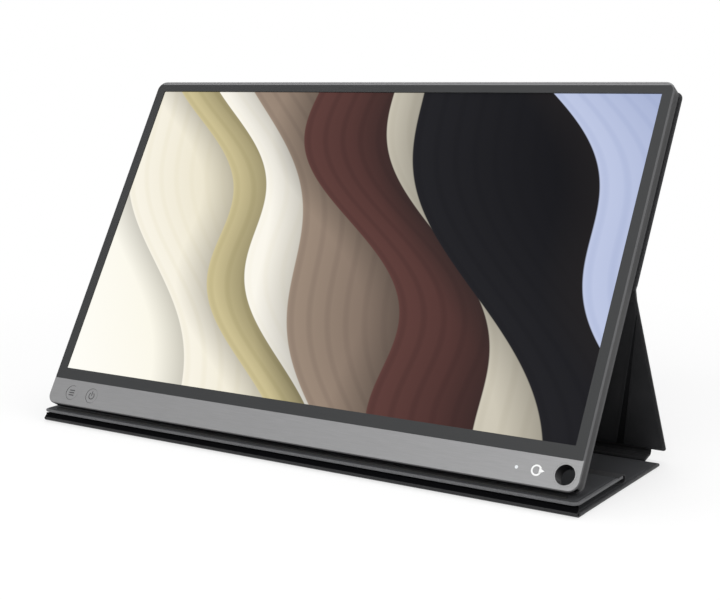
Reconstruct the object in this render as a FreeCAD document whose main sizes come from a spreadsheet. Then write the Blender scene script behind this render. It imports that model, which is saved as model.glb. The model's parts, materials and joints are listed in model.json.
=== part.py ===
import FreeCAD, Part
import math
import os

import Sketcher

# A portable monitor standing on its own folded cover.
# X runs to the viewer's right, Y away from the viewer and Z up.
# The origin is the middle of the base panel's underside, which lies on the table.
# The cover is one strip of stiff panels joined by soft folds. From the top of the
# monitor's back it runs: back panel, prop, spine, base, inner leaf, rest leaf.
# The two leaves lie folded on the base, and the monitor's lower edge stands on them.

document = FreeCAD.newDocument("portable_monitor")

# Driving sizes, in millimetres, with the rise of the spine in degrees

DRIVING_SIZES = [
    # monitor shell
    ("picture_width", 344.2),
    ("picture_height", 193.6),
    ("side_bezel", 6.9),
    ("top_bezel", 7.2),
    ("lower_strip", 7.4),
    ("chin_height", 16.2),
    ("monitor_depth", 8.0),
    ("corner_radius", 6.0),
    ("small_corner", 0.5),
    ("frame_wall", 1.0),
    ("frame_bevel", 0.5),
    ("cover_floor", 1.2),
    ("cover_bevel", 1.4),
    ("rim_drop", 0.2),
    ("chin_plate", 1.2),
    ("bezel_thickness", 0.9),
    ("bezel_sink", 0.1),
    ("bezel_lip", 0.3),
    ("fixed_gap", 0.05),
    ("sliding_gap", 0.1),
    # display module
    ("film_thickness", 0.3),
    ("film_inset", 1.0),
    ("cell_thickness", 1.1),
    ("sheets_thickness", 0.4),
    ("guide_thickness", 1.0),
    ("reflector_thickness", 0.2),
    ("tray_plate", 0.3),
    ("tray_wall", 0.5),
    ("module_corner", 1.0),
    ("module_gap", 0.23),
    ("module_rise", 0.4),
    ("sheet_gap", 0.3),
    ("light_bar_depth", 1.4),
    ("light_bar_inset", 4.0),
    ("foam_inset", 6.0),
    ("foam_width", 8.0),
    ("foam_end", 16.0),
    # circuit boards, ribbons and screws
    ("circuit_thickness", 0.8),
    ("board_margin", 0.9),
    ("board_end_gap", 2.4),
    ("board_spacing", 36.0),
    ("driver_board_length", 241.0),
    ("driver_board_width", 11.0),
    ("driver_board_drop", 5.0),
    ("key_board_lap", 9.0),
    ("ribbon_thickness", 0.15),
    ("panel_ribbon_width", 24.0),
    ("key_ribbon_width", 6.0),
    ("ribbon_lap", 3.0),
    ("chip_size", 9.0),
    ("chip_step", 1.5),
    ("chip_height", 1.1),
    ("screw_radius", 0.7),
    ("screw_head_height", 0.7),
    ("screw_tip_gap", 0.2),
    ("screw_margin", 1.6),
    ("screw_inset", 4.0),
    ("boss_wall", 1.1),
    # plug socket in the left edge
    ("socket_width", 8.8),
    ("socket_height", 3.0),
    ("socket_length", 7.4),
    ("socket_inset", 0.3),
    ("socket_wall", 0.25),
    ("tongue_width", 6.6),
    ("tongue_thickness", 0.7),
    ("tongue_root", 1.5),
    ("tongue_inset", 1.0),
    # keys, indicator and pen hole in the chin
    ("key_radius", 4.5),
    ("key_pitch", 16.6),
    ("key_inset", 18.0),
    ("key_flange", 0.8),
    ("key_bevel", 0.2),
    ("key_travel_room", 0.7),
    ("switch_width", 5.2),
    ("light_radius", 0.9),
    ("light_inset", 34.8),
    ("led_height", 0.7),
    ("led_width", 1.6),
    ("pen_radius", 5.25),
    ("pen_inset", 8.4),
    ("bush_wall", 0.85),
    # magnets
    ("magnet_radius", 5.0),
    ("magnet_room", 0.8),
    ("magnet_inset", 50.0),
    ("magnet_margin", 24.0),
    ("bar_length", 45.0),
    ("bar_width", 6.0),
    ("bar_inset", 54.0),
    ("bar_edge", 3.0),
    # cover
    ("case_overhang", 1.2),
    ("skin_thickness", 0.45),
    ("stiffener_thickness", 0.8),
    ("lining_thickness", 0.45),
    ("lining_inset", 0.4),
    ("panel_rim", 1.2),
    ("panel_corner", 4.0),
    ("fold_setback", 0.8),
    ("fold_ease", 0.6),
    ("fold_radius", 0.85),
    ("web_inset", 4.0),
    ("apex_height", 110.5),
    ("prop_length", 106.87),
    ("prop_inset", 0.6),
    ("spine_width", 8.4),
    ("spine_rise", 14.0),
    ("spine_notch", 9.5),
    ("spine_corner", 1.5),
    ("base_length", 102.1),
    ("leaf_length", 53.0),
    ("leaf_inset", 4.0),
    ("rest_overhang", 2.3),
    ("back_gap", 0.15),
    ("back_drop", 1.5),
    ("monitor_setback", 6.3),
    ("rest_gap", 0.2),
    ("rib_height", 0.8),
    ("rib_width", 3.0),
    ("rib_setback", 2.4),
    ("rib_inset", 8.0),
    ("crease_foot", 26.5),
    ("crease_drop", 12.3),
    ("crease_width", 1.6),
    ("crease_end", 6.0),
]

CHIP_COUNT = 6

sheet = document.addObject("Spreadsheet::Sheet", "Dimensions")
for row, (alias, number) in enumerate(DRIVING_SIZES, start=1):
    sheet.set("A%d" % row, alias)
    sheet.set("B%d" % row, str(number))
    sheet.setAlias("B%d" % row, alias)
document.recompute()


class Size:
    """A length in millimetres together with the sheet expression that gives it."""

    def __init__(self, value, text):
        self.value = value
        self.text = text

    def joined(self, other, sign, value):
        return Size(value, "(%s %s %s)" % (self.text, sign, other.text))

    def __add__(self, other):
        other = as_size(other)
        return self.joined(other, "+", self.value + other.value)

    def __sub__(self, other):
        other = as_size(other)
        return self.joined(other, "-", self.value - other.value)

    def __mul__(self, other):
        other = as_size(other)
        return self.joined(other, "*", self.value * other.value)

    def __truediv__(self, other):
        other = as_size(other)
        return self.joined(other, "/", self.value / other.value)

    def __neg__(self):
        return as_size(0) - self


def as_size(number):
    if isinstance(number, Size):
        return number
    return Size(float(number), "(%s)" % number)


def driving(alias):
    return Size(float(sheet.get(alias)), "Dimensions.%s" % alias)


picture_width = driving("picture_width")
chin = driving("chin_height")
depth = driving("monitor_depth")
corner = driving("corner_radius")
small_corner = driving("small_corner")
wall = driving("frame_wall")
floor = driving("cover_floor")
chin_plate = driving("chin_plate")
bezel_thickness = driving("bezel_thickness")
bezel_lip = driving("bezel_lip")
fixed_gap = driving("fixed_gap")
sliding_gap = driving("sliding_gap")
film_thickness = driving("film_thickness")
film_inset = driving("film_inset")
cell_thickness = driving("cell_thickness")
sheets_thickness = driving("sheets_thickness")
guide_thickness = driving("guide_thickness")
reflector_thickness = driving("reflector_thickness")
tray_plate = driving("tray_plate")
tray_wall = driving("tray_wall")
module_corner = driving("module_corner")
sheet_gap = driving("sheet_gap")
light_bar_depth = driving("light_bar_depth")
circuit = driving("circuit_thickness")
board_margin = driving("board_margin")
ribbon = driving("ribbon_thickness")
ribbon_lap = driving("ribbon_lap")
screw_radius = driving("screw_radius")
screw_margin = driving("screw_margin")
screw_inset = driving("screw_inset")
screw_tip_gap = driving("screw_tip_gap")
socket_height = driving("socket_height")
socket_wall = driving("socket_wall")
key_radius = driving("key_radius")
key_pitch = driving("key_pitch")
key_flange = driving("key_flange")
light_radius = driving("light_radius")
led_height = driving("led_height")
pen_radius = driving("pen_radius")
bush_wall = driving("bush_wall")
magnet_radius = driving("magnet_radius")
magnet_margin = driving("magnet_margin")
skin = driving("skin_thickness")
stiffener = driving("stiffener_thickness")
lining = driving("lining_thickness")
lining_inset = driving("lining_inset")
panel_rim = driving("panel_rim")
panel_corner = driving("panel_corner")
setback = driving("fold_setback")
ease = driving("fold_ease")
web_inset = driving("web_inset")
apex_height = driving("apex_height")
prop_length = driving("prop_length")
spine_width = driving("spine_width")
spine_corner = driving("spine_corner")
base_length = driving("base_length")
leaf_length = driving("leaf_length")
rest_overhang = driving("rest_overhang")
back_gap = driving("back_gap")
monitor_setback = driving("monitor_setback")
crease_foot = driving("crease_foot")
crease_width = driving("crease_width")

half_width = picture_width / 2 + driving("side_bezel")
picture_bottom = chin + driving("lower_strip")
picture_top = picture_bottom + driving("picture_height")
height = picture_top + driving("top_bezel")
panel = skin + stiffener + lining
half_case = half_width + driving("case_overhang")
rest_length = leaf_length + rest_overhang

# Where the panels stand. Each panel has its own frame: X to the right, Y along the
# panel and Z from its outer skin to its lining. The monitor's frame has Y up the
# screen and Z out of the screen, with its origin on the lower edge of the back.


def turned(y, z, angle):
    """A frame at y, z turned about X by an angle in radians."""
    rotation = FreeCAD.Rotation(FreeCAD.Vector(1, 0, 0), math.degrees(angle))
    return FreeCAD.Placement(FreeCAD.Vector(0, y, z), rotation)


front_axis_y = -base_length.value / 2
rear_axis_y = base_length.value / 2
axis_z = panel.value + ease.value
rest_level = 2 * panel.value + 4 * ease.value
foot_y = front_axis_y + monitor_setback.value
foot_z = rest_level + panel.value + driving("rest_gap").value

base_frame = turned(front_axis_y, 0, 0)
leaf_frame = FreeCAD.Placement(
    FreeCAD.Vector(0, front_axis_y, 2 * axis_z), FreeCAD.Rotation(FreeCAD.Vector(0, 1, 0), 180)
)
rest_frame = turned(front_axis_y - rest_overhang.value, rest_level, 0)

# The spine rises from the rear edge of the base. The monitor and the prop then lean on
# each other as two sides of a triangle, so the lean of the screen follows from the
# lengths of the panels.

spine_angle = math.radians(sheet.get("spine_rise"))
prop_y = rear_axis_y + spine_width.value * math.cos(spine_angle)
prop_z = axis_z + spine_width.value * math.sin(spine_angle)
back_offset = back_gap.value + panel.value + ease.value
fold_shift = panel.value + 2 * ease.value
monitor_side = math.hypot(apex_height.value, back_offset)
prop_side = math.hypot(prop_length.value, fold_shift)
span = math.hypot(prop_y - foot_y, prop_z - foot_z)
foot_angle = math.acos((monitor_side ** 2 + span ** 2 - prop_side ** 2) / (2 * monitor_side * span))
apex_direction = math.atan2(prop_z - foot_z, prop_y - foot_y) + foot_angle
apex_y = foot_y + monitor_side * math.cos(apex_direction)
apex_z = foot_z + monitor_side * math.sin(apex_direction)
tilt = apex_direction + math.atan2(back_offset, apex_height.value)
prop_angle = math.atan2(apex_z - prop_z, apex_y - prop_y) + math.atan2(fold_shift, prop_length.value)

monitor_frame = turned(foot_y, foot_z, tilt)
back_frame = turned(apex_y - ease.value * math.sin(tilt), apex_z + ease.value * math.cos(tilt), tilt)
spine_frame = turned(
    rear_axis_y + axis_z * math.sin(spine_angle), axis_z - axis_z * math.cos(spine_angle), spine_angle
)
prop_frame = turned(
    prop_y + axis_z * math.sin(prop_angle), prop_z - axis_z * math.cos(prop_angle), prop_angle
)

# Sketches and features

nodes = []


def new_body(label, frame, pieces=1):
    body = document.addObject("PartDesign::Body", label)
    body.Label = label
    body.Placement = frame
    body.AllowCompound = pieces > 1
    nodes.append(body)
    return body


def new_sketch(body, level, plane="XY_Plane"):
    """A sketch on one of the body's own planes, moved by level along the plane's normal."""
    sketch = body.newObject("Sketcher::SketchObject", body.Name + "_outline")
    support = [item for item in body.Origin.OriginFeatures if item.Role == plane]
    sketch.AttachmentSupport = [(support[0], "")]
    sketch.MapMode = "FlatFace"
    sketch.setExpression("AttachmentOffset.Base.z", as_size(level).text)
    return sketch


def bind(sketch, constraint, size):
    number = sketch.addConstraint(constraint)
    sketch.setExpression("Constraints[%d]" % number, size.text)


def hold(sketch, geometry, end, x, y):
    """Hold one end or the centre of a piece of geometry at x, y."""
    bind(sketch, Sketcher.Constraint("DistanceX", -1, 1, geometry, end, x.value), x)
    bind(sketch, Sketcher.Constraint("DistanceY", -1, 1, geometry, end, y.value), y)


def vector(x, y):
    return FreeCAD.Vector(x.value, y.value, 0)


def polygon(sketch, corners):
    points = [(as_size(x), as_size(y)) for x, y in corners]
    first = sketch.GeometryCount
    for number, start in enumerate(points):
        end = points[(number + 1) % len(points)]
        sketch.addGeometry(Part.LineSegment(vector(*start), vector(*end)))
    for number, start in enumerate(points):
        following = first + (number + 1) % len(points)
        sketch.addConstraint(Sketcher.Constraint("Coincident", first + number, 2, following, 1))
        hold(sketch, first + number, 1, *start)


def rectangle(sketch, left, bottom, right, top):
    polygon(sketch, [(left, bottom), (right, bottom), (right, top), (left, top)])


def rounded(sketch, left, bottom, right, top, radius, low_radius=None):
    """A rectangle with round corners: four sides, each followed by the arc of its corner."""
    left, bottom, right, top = (as_size(side) for side in (left, bottom, right, top))
    upper = as_size(radius)
    lower = upper if low_radius is None else as_size(low_radius)
    sides = [
        ((left + lower, bottom), (right - lower, bottom), (right - lower, bottom + lower), lower),
        ((right, bottom + lower), (right, top - upper), (right - upper, top - upper), upper),
        ((right - upper, top), (left + upper, top), (left + upper, top - upper), upper),
        ((left, top - upper), (left, bottom + lower), (left + lower, bottom + lower), lower),
    ]
    first = sketch.GeometryCount
    for number, (start, end, centre, bend) in enumerate(sides):
        sketch.addGeometry(Part.LineSegment(vector(*start), vector(*end)))
        whole = Part.Circle(vector(*centre), FreeCAD.Vector(0, 0, 1), bend.value)
        turn = (number - 1) * math.pi / 2
        sketch.addGeometry(Part.ArcOfCircle(whole, turn, turn + math.pi / 2))
    for number, (start, end, centre, bend) in enumerate(sides):
        line = first + 2 * number
        following = first + 2 * ((number + 1) % len(sides))
        hold(sketch, line, 1, *start)
        hold(sketch, line, 2, *end)
        sketch.addConstraint(Sketcher.Constraint("Coincident", line, 2, line + 1, 1))
        sketch.addConstraint(Sketcher.Constraint("Coincident", line + 1, 2, following, 1))
        bind(sketch, Sketcher.Constraint("Radius", line + 1, bend.value), bend)


def circle(sketch, x, y, radius):
    x, y, radius = as_size(x), as_size(y), as_size(radius)
    number = sketch.addGeometry(Part.Circle(vector(x, y), FreeCAD.Vector(0, 0, 1), radius.value))
    hold(sketch, number, 3, x, y)
    bind(sketch, Sketcher.Constraint("Radius", number, radius.value), radius)


def pad(body, sketch, length):
    feature = body.newObject("PartDesign::Pad", body.Name + "_pad")
    feature.Profile = sketch
    feature.setExpression("Length", as_size(length).text)
    document.recompute()
    return feature


def pocket(body, sketch, length):
    """Cut from the sketch's plane against its normal."""
    feature = body.newObject("PartDesign::Pocket", body.Name + "_pocket")
    feature.Profile = sketch
    feature.setExpression("Length", as_size(length).text)
    document.recompute()
    return feature


def bevel(body, feature, level, size):
    """Chamfer the edges of a feature that lie wholly at one level."""
    names = []
    for number, edge in enumerate(feature.Shape.Edges, start=1):
        box = edge.BoundBox
        if abs(box.ZMin - level.value) < 0.01 and abs(box.ZMax - level.value) < 0.01:
            names.append("Edge%d" % number)
    chamfer = body.newObject("PartDesign::Chamfer", body.Name + "_bevel")
    chamfer.Base = (feature, names)
    chamfer.setExpression("Size", as_size(size).text)
    document.recompute()


def plate(label, frame, level, thickness, left, bottom, right, top, radius):
    body = new_body(label, frame)
    sketch = new_sketch(body, level)
    rounded(sketch, left, bottom, right, top, radius)
    pad(body, sketch, thickness)
    return body


def blocks(label, frame, level, thickness, outlines):
    """One node of separate rectangular blocks, all of one thickness."""
    body = new_body(label, frame, len(outlines))
    sketch = new_sketch(body, level)
    for outline in outlines:
        rectangle(sketch, *outline)
    pad(body, sketch, thickness)
    return body


def discs(label, frame, level, thickness, centres, radius):
    body = new_body(label, frame, len(centres))
    sketch = new_sketch(body, level)
    for x, y in centres:
        circle(sketch, x, y, radius)
    pad(body, sketch, thickness)
    return body


def punch(body, level, length, centres, radius):
    """Round holes cut downwards from a level."""
    sketch = new_sketch(body, level)
    for x, y in centres:
        circle(sketch, x, y, radius)
    pocket(body, sketch, length)


# Levels through the monitor, from the glass down to the boards

bezel_level = depth - driving("bezel_sink") - bezel_thickness
cell_level = bezel_level - film_thickness - cell_thickness
sheets_level = cell_level - sliding_gap - sheets_thickness
guide_level = sheets_level - guide_thickness
tray_floor = guide_level - reflector_thickness
tray_level = tray_floor - tray_plate
board_level = tray_level - circuit
rim = tray_level - driving("rim_drop")
plate_back = depth - chin_plate

# Places in the chin

chin_middle = chin / 2
first_key = driving("key_inset") - half_width
key_centres = [(first_key, chin_middle), (first_key + key_pitch, chin_middle)]
light_centre = (half_width - driving("light_inset"), chin_middle)
pen_centre = (half_width - driving("pen_inset"), chin_middle)
bush_seat = pen_radius + bush_wall + fixed_gap
board_bottom = wall + board_margin
board_top = chin - wall - board_margin
board_end_gap = driving("board_end_gap")
main_right = pen_centre[0] - pen_radius - bush_wall - board_end_gap
key_board_left = wall + board_end_gap - half_width
key_board_right = key_centres[1][0] + key_radius + driving("key_board_lap")
main_left = key_board_right + driving("board_spacing")
screw_columns = (first_key + key_pitch / 2, main_left + screw_inset, main_right - screw_inset)
screw_rows = (board_bottom + screw_margin, board_top - screw_margin)
screw_centres = [(x, y) for x in screw_columns for y in screw_rows]
socket_bottom = chin_middle - driving("socket_width") / 2
socket_top = chin_middle + driving("socket_width") / 2
socket_roof = tray_level + socket_height

# Rear cover: a shallow tray with bosses for the boards and a seat for the pen hole's bush

rear_cover = new_body("rear_cover", monitor_frame)
outline = new_sketch(rear_cover, 0)
rounded(outline, -half_width, 0, half_width, height, corner)
shell = pad(rear_cover, outline, rim)
bevel(rear_cover, shell, as_size(0), driving("cover_bevel"))
hollow = new_sketch(rear_cover, rim)
rounded(hollow, wall - half_width, wall, half_width - wall, height - wall, corner - wall)
pocket(rear_cover, hollow, rim - floor)
bosses = new_sketch(rear_cover, floor)
for x, y in screw_centres:
    circle(bosses, x, y, screw_radius + driving("boss_wall"))
pad(rear_cover, bosses, board_level - floor)
punch(rear_cover, board_level, board_level - floor, screw_centres, screw_radius + fixed_gap)
punch(rear_cover, floor, floor, [pen_centre], bush_seat)

# Silver frame: a thin wall around the screen, with the chin as part of it

main_frame = new_body("main_frame", monitor_frame)
outline = new_sketch(main_frame, rim)
rounded(outline, -half_width, 0, half_width, height, corner)
shell = pad(main_frame, outline, depth - rim)
bevel(main_frame, shell, depth, driving("frame_bevel"))
window = new_sketch(main_frame, depth)
rounded(window, wall - half_width, chin, half_width - wall, height - wall, corner - wall, small_corner)
pocket(main_frame, window, depth - rim)
hollow = new_sketch(main_frame, plate_back)
rounded(hollow, wall - half_width, wall, half_width - wall, chin - wall, wall * 2)
pocket(main_frame, hollow, plate_back - rim)
punch(main_frame, depth, depth - rim, [pen_centre], bush_seat)
punch(main_frame, depth, chin_plate, key_centres, key_radius + sliding_gap)
punch(main_frame, depth, chin_plate, [light_centre], light_radius + fixed_gap)
slot = new_sketch(main_frame, wall - half_width, "YZ_Plane")
rectangle(slot, socket_bottom - sliding_gap, rim, socket_top + sliding_gap, socket_roof + sliding_gap)
pocket(main_frame, slot, wall)

# Dark bezel around the picture

front_bezel = new_body("front_bezel", monitor_frame)
outline = new_sketch(front_bezel, bezel_level)
bezel_edge = wall + fixed_gap
bezel_side = half_width - bezel_edge
rounded(
    outline, -bezel_side, chin + fixed_gap, bezel_side, height - bezel_edge,
    corner - bezel_edge, small_corner,
)
picture_side = picture_width / 2 + bezel_lip
rounded(
    outline, -picture_side, picture_bottom - bezel_lip, picture_side, picture_top + bezel_lip, small_corner,
)
pad(front_bezel, outline, bezel_thickness)

# Display module, from the steel tray at the back to the film at the front.
# Its corners stay clear of the round corners inside the frame.

corner_share = 1 - math.sqrt(0.5)
module_edge = wall + (corner - wall - module_corner) * corner_share + driving("module_gap")
module_side = half_width - module_edge
module_bottom = chin + driving("module_rise")
module_top = height - module_edge
inner_side = module_side - tray_wall - sheet_gap
inner_bottom = module_bottom + tray_wall + sheet_gap
inner_top = module_top - tray_wall - sheet_gap

panel_tray = plate(
    "panel_tray", monitor_frame, tray_level, cell_level - tray_level,
    -module_side, module_bottom, module_side, module_top, module_corner,
)
hollow = new_sketch(panel_tray, cell_level)
rounded(
    hollow, tray_wall - module_side, module_bottom + tray_wall,
    module_side - tray_wall, module_top - tray_wall, module_corner - tray_wall,
)
pocket(panel_tray, hollow, cell_level - tray_floor)
plate(
    "reflector_sheet", monitor_frame, tray_floor, reflector_thickness,
    -inner_side, inner_bottom, inner_side, inner_top, small_corner,
)
bar_side = inner_side - driving("light_bar_inset")
blocks(
    "led_bar", monitor_frame, guide_level, guide_thickness,
    [(-bar_side, inner_bottom, bar_side, inner_bottom + light_bar_depth)],
)
plate(
    "light_guide", monitor_frame, guide_level, guide_thickness,
    -inner_side, inner_bottom + light_bar_depth + sheet_gap, inner_side, inner_top, small_corner,
)
plate(
    "optical_sheets", monitor_frame, sheets_level, sheets_thickness,
    -inner_side, inner_bottom, inner_side, inner_top, small_corner,
)
plate(
    "lcd_cell", monitor_frame, cell_level, cell_thickness,
    -module_side, module_bottom, module_side, module_top, module_corner,
)
plate(
    "screen_film", monitor_frame, bezel_level - film_thickness, film_thickness,
    film_inset - module_side, module_bottom + film_inset,
    module_side - film_inset, module_top - film_inset, small_corner,
)
foam_outer = module_side - driving("foam_inset")
foam_inner = foam_outer - driving("foam_width")
foam_bottom = picture_bottom + driving("foam_end")
foam_top = picture_top - driving("foam_end")
blocks(
    "foam_strips", monitor_frame, floor, tray_level - floor,
    [
        (-foam_outer, foam_bottom, -foam_inner, foam_top),
        (foam_inner, foam_bottom, foam_outer, foam_top),
    ],
)

# Circuit boards, ribbons and screws

main_board = blocks(
    "main_board", monitor_frame, board_level, circuit, [(main_left, board_bottom, main_right, board_top)],
)
punch(main_board, tray_level, circuit, screw_centres[2:], screw_radius + sliding_gap)
key_board = blocks(
    "key_board", monitor_frame, board_level, circuit,
    [(key_board_left, board_bottom, key_board_right, board_top)],
)
punch(key_board, tray_level, circuit, screw_centres[:2], screw_radius + sliding_gap)
driver_side = driving("driver_board_length") / 2
driver_bottom = picture_bottom - driving("driver_board_drop")
blocks(
    "driver_board", monitor_frame, board_level, circuit,
    [(-driver_side, driver_bottom, driver_side, driver_bottom + driving("driver_board_width"))],
)
panel_ribbon_side = driving("panel_ribbon_width") / 2
blocks(
    "panel_flex", monitor_frame, board_level - ribbon, ribbon,
    [(-panel_ribbon_side, board_top - ribbon_lap * 2, panel_ribbon_side, driver_bottom + ribbon_lap * 2)],
)
key_ribbon_side = driving("key_ribbon_width") / 2
blocks(
    "key_flex", monitor_frame, tray_level, ribbon,
    [
        (
            key_board_right - ribbon_lap, chin_middle - key_ribbon_side,
            main_left + screw_inset / 2, chin_middle + key_ribbon_side,
        ),
    ],
)
chip_outlines = []
chip_pitch = (main_right - main_left) / (CHIP_COUNT + 1)
for number in range(1, CHIP_COUNT + 1):
    middle = main_left + chip_pitch * number
    chip_side = driving("chip_size") / 2 - driving("chip_step") * (number % 3) / 2
    chip_outlines.append(
        (middle - chip_side, chin_middle - chip_side, middle + chip_side, chin_middle + chip_side)
    )
blocks("board_chips", monitor_frame, tray_level, driving("chip_height"), chip_outlines)
board_screws = discs(
    "board_screws", monitor_frame, tray_level, driving("screw_head_height"), screw_centres, screw_radius * 2,
)
shanks = new_sketch(board_screws, floor + screw_tip_gap)
for x, y in screw_centres:
    circle(shanks, x, y, screw_radius)
pad(board_screws, shanks, tray_level - floor - screw_tip_gap)

# Plug socket: a steel shell around a tongue on a solid root

socket_left = driving("socket_inset") - half_width
socket_right = socket_left + driving("socket_length")
mouth_bottom = socket_bottom + socket_wall
mouth_floor = tray_level + socket_wall
mouth_top = socket_top - socket_wall
mouth_roof = socket_roof - socket_wall
usb_socket = new_body("usb_socket", monitor_frame)
outline = new_sketch(usb_socket, socket_left, "YZ_Plane")
socket_bend = socket_height / 2 - fixed_gap
rounded(outline, socket_bottom, tray_level, socket_top, socket_roof, socket_bend)
rounded(outline, mouth_bottom, mouth_floor, mouth_top, mouth_roof, socket_bend - socket_wall)
pad(usb_socket, outline, socket_right - socket_left)
root = driving("tongue_root")
usb_tongue = new_body("usb_tongue", monitor_frame)
outline = new_sketch(usb_tongue, socket_right - root, "YZ_Plane")
rounded(
    outline, mouth_bottom + fixed_gap, mouth_floor + fixed_gap,
    mouth_top - fixed_gap, mouth_roof - fixed_gap, socket_bend - socket_wall - fixed_gap,
)
pad(usb_tongue, outline, root)
tongue_left = socket_left + driving("tongue_inset")
tongue_side = driving("tongue_width") / 2
tongue_floor = tray_level + socket_height / 2 - driving("tongue_thickness") / 2
outline = new_sketch(usb_tongue, tongue_left, "YZ_Plane")
rectangle(
    outline, chin_middle - tongue_side, tongue_floor,
    chin_middle + tongue_side, tongue_floor + driving("tongue_thickness"),
)
pad(usb_tongue, outline, socket_right - root / 2 - tongue_left)

# Keys, switches, indicator and pen hole

flange_level = plate_back - sliding_gap - key_flange
switch_height = flange_level - driving("key_travel_room") - tray_level
switch_side = driving("switch_width") / 2
switch_outlines = []
for x, y in key_centres:
    switch_outlines.append((x - switch_side, y - switch_side, x + switch_side, y + switch_side))
blocks("key_switches", monitor_frame, tray_level, switch_height, switch_outlines)
for label, centre in zip(("menu_key", "power_key"), key_centres):
    key = discs(label, monitor_frame, flange_level, key_flange, [centre], key_radius + key_flange)
    stem = new_sketch(key, flange_level + key_flange)
    circle(stem, centre[0], centre[1], key_radius)
    face = pad(key, stem, depth - flange_level - key_flange)
    bevel(key, face, depth, driving("key_bevel"))
led_side = driving("led_width") / 2
blocks(
    "status_led", monitor_frame, tray_level, led_height,
    [
        (
            light_centre[0] - led_side, light_centre[1] - led_side,
            light_centre[0] + led_side, light_centre[1] + led_side,
        ),
    ],
)
pipe_level = tray_level + led_height
discs("light_pipe", monitor_frame, pipe_level, depth - pipe_level, [light_centre], light_radius)
bush = discs("pen_hole_bush", monitor_frame, 0, depth, [pen_centre], pen_radius + bush_wall)
punch(bush, depth, depth, [pen_centre], pen_radius)

# Magnets that hold the cover's back panel to the monitor

magnet_side = half_width - driving("magnet_inset")
magnet_rows = (apex_height + magnet_margin, height - magnet_margin)
magnet_centres = [(side, y) for side in (-magnet_side, magnet_side) for y in magnet_rows]
magnet_thickness = tray_level - floor - driving("magnet_room")
discs("monitor_magnets", monitor_frame, floor, magnet_thickness, magnet_centres, magnet_radius)

# Cover panels: an outer skin folded up around a stiffener, closed by a lining

board_inset = panel_rim + sliding_gap


def cover_panel(name, frame, width_half, start, end):
    """The skin and lining of one panel between two fold lines or edges."""
    outer = plate(
        name + "_skin", frame, 0, skin + stiffener, -width_half, start, width_half, end, panel_corner,
    )
    hollow = new_sketch(outer, skin + stiffener)
    rounded(
        hollow, panel_rim - width_half, start + panel_rim,
        width_half - panel_rim, end - panel_rim, panel_corner - panel_rim,
    )
    pocket(outer, hollow, stiffener)
    return plate(
        name + "_lining", frame, skin + stiffener, lining,
        lining_inset - width_half, start + lining_inset,
        width_half - lining_inset, end - lining_inset, panel_corner - lining_inset,
    )


def stiffener_board(name, frame, width_half, start, end):
    return plate(
        name, frame, skin, stiffener,
        board_inset - width_half, start + board_inset,
        width_half - board_inset, end - board_inset, panel_corner - board_inset,
    )


back_end = height - apex_height - driving("back_drop")
cover_panel("back", back_frame, half_case, setback, back_end)
back_board = stiffener_board("back_board", back_frame, half_case, setback, back_end)
plate_centres = [(x, y - apex_height) for x, y in magnet_centres]
punch(back_board, skin + stiffener, stiffener, plate_centres, magnet_radius + sliding_gap)
discs("back_magnets", back_frame, skin, stiffener, plate_centres, magnet_radius)

base_end = base_length - setback
cover_panel("base", base_frame, half_case, setback, base_end)
stiffener_board("base_board", base_frame, half_case, setback, base_end)

# The inner leaf is a little narrower than the panels above and below it

leaf_end = leaf_length - setback
leaf_half = half_case - driving("leaf_inset")
cover_panel("leaf", leaf_frame, leaf_half, setback, leaf_end)
stiffener_board("leaf_board", leaf_frame, leaf_half, setback, leaf_end)

# The rest leaf starts at its free front edge. Its two magnet bars hold the cover shut.

rest_end = rest_length - setback
free_edge = as_size(0)
cover_panel("rest", rest_frame, half_case, free_edge, rest_end)
rest_board = stiffener_board("rest_board", rest_frame, half_case, free_edge, rest_end)
bar_far = half_case - driving("bar_inset")
bar_near = bar_far - driving("bar_length")
bar_bottom = driving("bar_edge")
bar_top = bar_bottom + driving("bar_width")
bars = [(-bar_far, bar_bottom, -bar_near, bar_top), (bar_near, bar_bottom, bar_far, bar_top)]
slots = new_sketch(rest_board, skin + stiffener)
for left, bottom, right, top in bars:
    rectangle(slots, left - sliding_gap, bottom - sliding_gap, right + sliding_gap, top + sliding_gap)
pocket(rest_board, slots, stiffener)
blocks("rest_magnets", rest_frame, skin, stiffener, bars)
rib_top = monitor_setback + rest_overhang - driving("rib_setback")
rib_side = half_case - driving("rib_inset")
plate(
    "stop_rib", rest_frame, panel, driving("rib_height"),
    -rib_side, rib_top - driving("rib_width"), rib_side, rib_top, driving("rib_width") / 3,
)

# The prop has a slanted crease near each end, with its own stiffener on either side.
# A crease starts on the lower fold and runs out to the side edge below the upper fold.

prop_half = half_case - driving("prop_inset")
prop_end = prop_length - setback
crease_top = prop_length - driving("crease_drop")
prop_lining = cover_panel("prop", prop_frame, prop_half, setback, prop_end)


def crease_x(v):
    """The distance of the crease from the middle, at v along the prop."""
    return prop_half - crease_foot + crease_foot * v / crease_top


side = prop_half - board_inset
low = setback + board_inset
high = prop_end - board_inset
cut = panel_corner / 2
half_crease = crease_width / 2
meet_inner = crease_top - crease_top * (board_inset - half_crease) / crease_foot
meet_outer = crease_top - crease_top * (board_inset + half_crease) / crease_foot
prop_boards = new_body("prop_boards", prop_frame, 3)
outline = new_sketch(prop_boards, skin)
inner_low = crease_x(low) - half_crease
polygon(
    outline,
    [
        (-inner_low, low), (inner_low, low), (side, meet_inner),
        (side - cut, high), (cut - side, high), (-side, meet_inner),
    ],
)
outer_low = crease_x(low) + half_crease
polygon(outline, [(outer_low, low), (side - cut, low), (side, low + cut), (side, meet_outer)])
polygon(outline, [(-outer_low, low), (-side, meet_outer), (-side, low + cut), (cut - side, low)])
pad(prop_boards, outline, stiffener)
groove = new_sketch(prop_lining, panel)
groove_low = setback + lining_inset * 2
groove_high = crease_top - driving("crease_end")
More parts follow.
